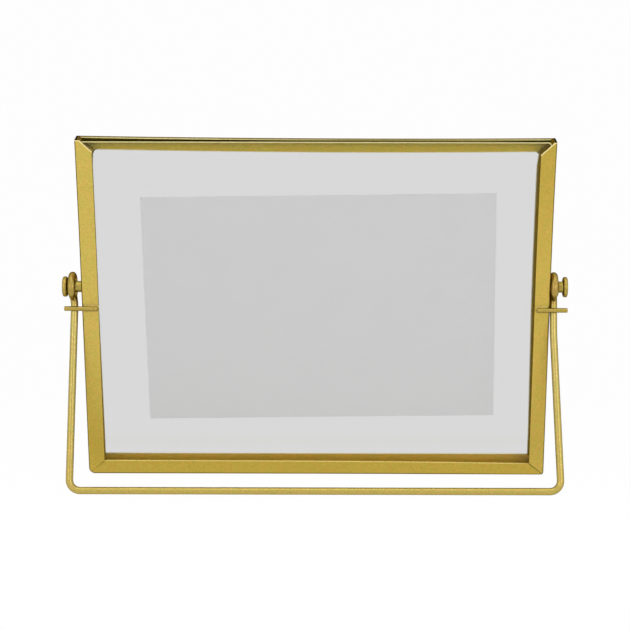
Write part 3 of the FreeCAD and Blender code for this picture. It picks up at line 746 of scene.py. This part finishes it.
def pane(name, depth, body, rim):
    """Cut pane with broken edges, settled unevenly; the edges look dark and green, as sheet glass does, and the
    front pane's front arris carries a painted highlight.
    """
    half = HALF_WIDTH - SHEET - TAIL_HEIGHT - PANE_PLAY
    cut = PANE_CORNER_CUT
    low = PANE_FOOT
    left_head, right_head = (TOP + PANE_RISE - settled for settled in PANE_SET)

    def outline(inset):
        reach, foot, left, right = half - inset, low + inset, left_head - inset, right_head - inset
        return [(-reach + cut, foot), (reach - cut, foot), (reach, foot + cut), (reach, right - cut),
                (reach - cut, right), (-reach + cut, left), (-reach, left - cut), (-reach, foot + cut)]

    levels = [(0, PANE_ARRIS), (PANE_ARRIS, 0), (PANE_THICKNESS - PANE_ARRIS, 0), (PANE_THICKNESS, PANE_ARRIS)]
    maker = bmesh.new()
    rings = [[on_frame(across, depth + deep, height) for across, height in outline(inset)]
             for deep, inset in levels]
    front_row = 2 if name == "front_glass" else 1
    rows = skin(maker, rings, lambda row, column: front_row if row == 0 else 1)
    maker.faces.new(rows[0]).material_index = 0
    maker.faces.new(rows[-1]).material_index = 0
    return finished(name + "_cut", maker, [GLASS, rim, ARRIS_GLINT], name, body)


# ---------------------------------------------------------------- wire stand

def half_stand(side):
    """Middle line of half the wire, from the eye's free end to the middle of the foot."""
    throat_along = math.sqrt((EYE_RADIUS + THROAT_RADIUS) ** 2 - (LEG_OFFSET + THROAT_RADIUS) ** 2)
    touch = math.atan2(-(LEG_OFFSET + THROAT_RADIUS), throat_along)
    mouth = EYE_MOUTH - 2 * math.pi
    spots = []
    ring_steps = 40
    for step in range(ring_steps + 1):
        turn = mouth + (touch - mouth) * step / ring_steps
        spots.append((side["eye"], EYE_RADIUS * math.cos(turn), EYE_RADIUS * math.sin(turn)))
    # Straight on past the free end, for its taper.
    turn = mouth
    tail = [(side["eye"], EYE_RADIUS * math.cos(turn) + reach * math.sin(turn),
             EYE_RADIUS * math.sin(turn) - reach * math.cos(turn)) for reach in (END_TAPER, 1.5)]
    spots = tail + spots
    start = touch + math.pi
    centre = (throat_along, -(LEG_OFFSET + THROAT_RADIUS))
    for step in range(1, 9):
        turn = start + (math.pi / 2 - start) * step / 8
        spots.append((None, centre[0] + THROAT_RADIUS * math.cos(turn), centre[1] + THROAT_RADIUS * math.sin(turn)))
    leg_steps = 40
    leg_end = STAND_LENGTH - FOOT_BEND
    for step in range(1, leg_steps + 1):
        spots.append((None, throat_along + (leg_end - throat_along) * step / leg_steps, -LEG_OFFSET))

    def leg_place(along):
        share = max(0.0, (along - side["leg_from"]) / (STAND_LENGTH - side["leg_from"]))
        step_in = min(1.0, max(0.0, (along - 2.0) / 6.0))
        smooth = step_in * step_in * (3 - 2 * step_in)
        top = side["eye"] + (side["leg_top"] - side["eye"]) * smooth
        return top + (side["foot"] - side["leg_top"]) * share

    line = [(side["side"] * (across if across is not None else leg_place(along)), along, forward)
            for across, along, forward in spots]
    # The foot's bend, then straight to the middle.
    corner_across = leg_place(leg_end)
    for step in range(1, 9):
        turn = math.radians(90 * step / 8)
        line.append((side["side"] * (corner_across - FOOT_BEND * (1 - math.cos(turn))),
                     leg_end + FOOT_BEND * math.sin(turn), -LEG_OFFSET))
    foot_steps = 24
    start_across = corner_across - FOOT_BEND
    for step in range(1, foot_steps + 1):
        line.append((side["side"] * start_across * (1 - step / foot_steps), STAND_LENGTH, -LEG_OFFSET))
    return [on_stand(*spot) for spot in line]


def wire_tree():
    """Geometry Nodes: a wire of even thickness along a line, drawn out to a blunt tip at both ends."""
    tree = bpy.data.node_groups.new("drawn_wire", "GeometryNodeTree")
    tree.interface.new_socket("Line", in_out="INPUT", socket_type="NodeSocketGeometry")
    tree.interface.new_socket("Wire", in_out="OUTPUT", socket_type="NodeSocketGeometry")
    sizes = {}
    lengths = {"Radius": WIRE_RADIUS, "Tip radius": END_RADIUS, "Tip length": END_TAPER, "Step": 0.5, "Waver": 0.02}
    inputs = [(name, "NodeSocketFloat", length * MM) for name, length in lengths.items()]
    inputs += [("Wear", "NodeSocketFloat", 0.04), ("Sides", "NodeSocketInt", WIRE_SIDES),
               ("Seed", "NodeSocketInt", WAVER_SEED)]
    for name, kind, value in inputs:
        socket = tree.interface.new_socket(name, in_out="INPUT", socket_type=kind)
        socket.default_value = value
        sizes[name] = socket.identifier
    entry = tree.nodes.new("NodeGroupInput")
    exit_node = tree.nodes.new("NodeGroupOutput")

    to_curve = tree.nodes.new("GeometryNodeMeshToCurve")
    link(tree, entry.outputs["Line"], to_curve.inputs["Mesh"])
    resample = tree.nodes.new("GeometryNodeResampleCurve")
    resample.mode = "LENGTH"
    link(tree, to_curve.outputs["Curve"], resample.inputs["Curve"])
    link(tree, entry.outputs["Step"], resample.inputs["Length"])

    # A slow waver of the line.
    waver = tree.nodes.new("ShaderNodeTexNoise")
    waver.noise_dimensions = "4D"
    waver.inputs["Scale"].default_value = 45
    link(tree, entry.outputs["Seed"], waver.inputs["W"])
    centred = tree.nodes.new("ShaderNodeVectorMath")
    centred.operation = "SUBTRACT"
    centred.inputs[1].default_value = (0.5, 0.5, 0.5)
    link(tree, waver.outputs["Color"], centred.inputs[0])
    shift = tree.nodes.new("ShaderNodeVectorMath")
    shift.operation = "SCALE"
    link(tree, centred.outputs["Vector"], shift.inputs[0])
    link(tree, entry.outputs["Waver"], shift.inputs["Scale"])
    place = tree.nodes.new("GeometryNodeSetPosition")
    link(tree, resample.outputs["Curve"], place.inputs["Geometry"])
    link(tree, shift.outputs["Vector"], place.inputs["Offset"])

    # The radius: the tip's taper by the distance from either end, and faint thick and thin places.
    spline = tree.nodes.new("GeometryNodeSplineParameter")
    length = tree.nodes.new("GeometryNodeSplineLength")
    left_over = combined(tree, "SUBTRACT", length.outputs["Length"], spline.outputs["Length"])
    from_end = combined(tree, "MINIMUM", spline.outputs["Length"], left_over)
    share = combined(tree, "MINIMUM", combined(tree, "DIVIDE", from_end, entry.outputs["Tip length"]), 1.0)
    growth = combined(tree, "SUBTRACT", entry.outputs["Radius"], entry.outputs["Tip radius"])
    tapered = combined(tree, "ADD", entry.outputs["Tip radius"], combined(tree, "MULTIPLY", growth, share))
    wear = tree.nodes.new("ShaderNodeTexNoise")
    wear.inputs["Scale"].default_value = 160
    uneven = combined(tree, "MULTIPLY", combined(tree, "SUBTRACT", wear.outputs["Fac"], 0.5), entry.outputs["Wear"])
    radius = combined(tree, "MULTIPLY", tapered, combined(tree, "ADD", uneven, 1.0))

    # The wire: a round section along the line, at the radius worked out above.
    section = tree.nodes.new("GeometryNodeCurvePrimitiveCircle")
    section.inputs["Radius"].default_value = 1.0
    link(tree, entry.outputs["Sides"], section.inputs["Resolution"])
    sweep = tree.nodes.new("GeometryNodeCurveToMesh")
    link(tree, place.outputs["Geometry"], sweep.inputs["Curve"])
    link(tree, section.outputs["Curve"], sweep.inputs["Profile Curve"])
    sweep.inputs["Fill Caps"].default_value = True
    if "Scale" in sweep.inputs:
        link(tree, radius, sweep.inputs["Scale"])
    else:
        thick = tree.nodes.new("GeometryNodeSetCurveRadius")
        link(tree, place.outputs["Geometry"], thick.inputs["Curve"])
        link(tree, radius, thick.inputs["Radius"])
        link(tree, thick.outputs["Curve"], sweep.inputs["Curve"])
    whole = tree.nodes.new("GeometryNodeRealizeInstances")
    link(tree, sweep.outputs["Mesh"], whole.inputs["Geometry"])
    finish = tree.nodes.new("GeometryNodeSetMaterial")
    finish.inputs["Material"].default_value = WIRE_BRASS
    link(tree, whole.outputs["Geometry"], finish.inputs["Geometry"])
    link(tree, finish.outputs["Geometry"], exit_node.inputs["Wire"])
    return tree, sizes


def worn(spot):
    """A point of the wire, moved onto the flat that the left stop pin has worn."""
    away = (spot - PIVOT) / MM
    along, forward = away.dot(LEGWARD), away.dot(FORWARD)
    fade = min(1.0, max(0.0, 2.0 - abs(along - WEAR_ALONG) / WEAR_REACH))
    limit = WEAR_DEPTH * fade - LEG_OFFSET - WIRE_RADIUS
    if away.x > 0 or fade == 0 or forward > limit:
        return spot
    return spot + FORWARD * (limit - forward) * MM


def wire_stand():
    """The bent wire, drawn along its middle line."""
    left = half_stand(LEFT_SIDE)
    right = half_stand(RIGHT_SIDE)
    line = left + list(reversed(right[:-1]))
    guide = bpy.data.meshes.new("stand_line")
    guide.from_pydata(line, [(step, step + 1) for step in range(len(line) - 1)], [])
    drawing = bpy.data.objects.new("stand_drawing", guide)
    bpy.context.collection.objects.link(drawing)
    tree, sizes = wire_tree()
    modifier = drawing.modifiers.new("wire", "NODES")
    modifier.node_group = tree
    modifier[sizes["Radius"]] = WIRE_RADIUS * MM
    modifier[sizes["Sides"]] = WIRE_SIDES
    modifier[sizes["Seed"]] = WAVER_SEED
    evaluated = drawing.evaluated_get(bpy.context.evaluated_depsgraph_get())
    mesh = bpy.data.meshes.new_from_object(evaluated)
    drawing.modifiers.remove(modifier)
    bpy.data.objects.remove(drawing)
    bpy.data.meshes.remove(guide)
    maker = bmesh.new()
    maker.from_mesh(mesh)
    bpy.data.meshes.remove(mesh)
    for corner in maker.verts:
        corner.co = worn(corner.co)
    return finished("wire_stand_bent", maker, [WIRE_BRASS], "wire_stand", "stand")


for name, side in SIDES.items():
    side_rail(name + "_rail", side)
    corner_fillet(name + "_corner_solder", side)
    stud(name + "_stud", side)
    stop_pin(name + "_stop_pin", side)
    pin_solder(name + "_pin_solder", side)
bottom_rail()
top_strip()
pane("front_glass", FRONT_PANE_DEPTH, "front_pane", GLASS_EDGE)
pane("rear_glass", REAR_PANE_DEPTH, "rear_pane", REAR_GLASS_EDGE)
wire_stand()
dress("picture_card", PAPER)


# ---------------------------------------------------------------- floor, light and camera

THROUGH_GLASS = 0.757         # how bright the white backdrop is through the panes
FLOOR_SHARE = 0.985           # the rest of the floor is its own surface, which keeps the shadow
FLOOR_PALE, FLOOR_DIM = (0.92, 0.92, 0.92), (0.10, 0.10, 0.10)


def backdrop(tree, kind):
    """White for the camera and in reflections, a little greyer through glass, and whether a ray is shown it."""
    path = tree.nodes.new("ShaderNodeLightPath").outputs
    seen = combined(tree, "MAXIMUM", path["Is Camera Ray"], path["Is Glossy Ray"])
    seen = combined(tree, "MAXIMUM", seen, path["Is Transmission Ray"])
    white = tree.nodes.new(kind)
    white.inputs["Color"].default_value = (1, 1, 1, 1)
    link(tree, ramp(tree, path["Is Transmission Ray"], 0, 1, 1.0, THROUGH_GLASS), white.inputs["Strength"])
    return seen, white.outputs[0]


def shown(tree, seen, share, room, white, output):
    """Mix what lights the object with the white backdrop that cameras, reflections and glass are shown."""
    blend = tree.nodes.new("ShaderNodeMixShader")
    link(tree, combined(tree, "MULTIPLY", seen, share), blend.inputs[0])
    link(tree, room, blend.inputs[1])
    link(tree, white, blend.inputs[2])
    link(tree, blend.outputs[0], tree.nodes[output].inputs["Surface"])


def floor_material():
    """White floor, whose own surface throws less light back behind the object."""
    material, tree, shader = new_material("white_floor")
    behind = ramp(tree, place_axes(tree)["Y"], -0.04, 0.12, 0, 1)
    link(tree, mix_color(tree, behind, FLOOR_PALE, FLOOR_DIM), shader.inputs["Base Color"])
    shader.inputs["Roughness"].default_value = 0.9
    seen, white = backdrop(tree, "ShaderNodeEmission")
    shown(tree, seen, FLOOR_SHARE, shader.outputs[0], white, "Material Output")
    return material


def floor():
    mesh = bpy.data.meshes.new("floor")
    reach = 3.0
    corners = [(-reach, -reach, 0), (reach, -reach, 0), (reach, reach, 0), (-reach, reach, 0)]
    mesh.from_pydata(corners, [], [(0, 1, 2, 3)])
    mesh.materials.append(floor_material())
    piece = bpy.data.objects.new("floor", mesh)
    bpy.context.collection.objects.link(piece)


def world_light(front, back):
    """Pale studio, less bright behind the object than on the side of its front (-Y), with a white backdrop."""
    world = bpy.data.worlds.new("studio")
    bpy.context.scene.world = world
    world.use_nodes = True
    tree = world.node_tree
    room = tree.nodes["Background"]
    room.inputs["Color"].default_value = (1, 1, 1, 1)
    glow = ramp(tree, place_axes(tree, "Generated")["Y"], -0.75, 0.1, front, back)
    link(tree, glow, room.inputs["Strength"])
    seen, white = backdrop(tree, "ShaderNodeBackground")
    shown(tree, seen, 1.0, room.outputs[0], white, "World Output")


LAMP_AIM = Vector((0, 0, 0.075))


def soft_light(name, place, size, power):
    """Square area lamp that faces the object."""
    lamp = bpy.data.lights.new(name, "AREA")
    lamp.shape = "SQUARE"
    lamp.size = size
    lamp.energy = power
    holder = bpy.data.objects.new(name, lamp)
    bpy.context.collection.objects.link(holder)
    holder.location = place
    aim = LAMP_AIM - Vector(place)
    holder.rotation_euler = aim.to_track_quat("-Z", "Y").to_euler()


def camera():
    """Camera fitted to the four outer corners of the frame in the photograph."""
    distance = 0.8143
    elevation = math.radians(15.1886)
    azimuth = math.radians(0.6635)
    roll = math.radians(-0.0924)
    aim = Vector((-0.00021, 0, 0.07515))
    lens = 109.43
    data = bpy.data.cameras.new("camera")
    data.lens = lens
    data.sensor_width = 36
    holder = bpy.data.objects.new("camera", data)
    bpy.context.collection.objects.link(holder)
    back = Vector((math.sin(azimuth) * math.cos(elevation), -math.cos(azimuth) * math.cos(elevation),
                   math.sin(elevation)))
    holder.location = aim + back * distance
    holder.rotation_mode = "QUATERNION"
    level = (-back).to_track_quat("-Z", "Y")
    holder.rotation_quaternion = Quaternion(back, roll) @ level
    bpy.context.scene.camera = holder


floor()
world_light(1.0, 0.60)
soft_light("left_light", (-0.75, -1.0, 0.50), 0.5, 1.2)
soft_light("right_light", (0.75, -1.0, 0.45), 0.5, 1.5)
soft_light("top_light", (0.0, -0.2, 1.3), 0.9, 2)
camera()
bpy.context.scene.view_settings.view_transform = "Standard"
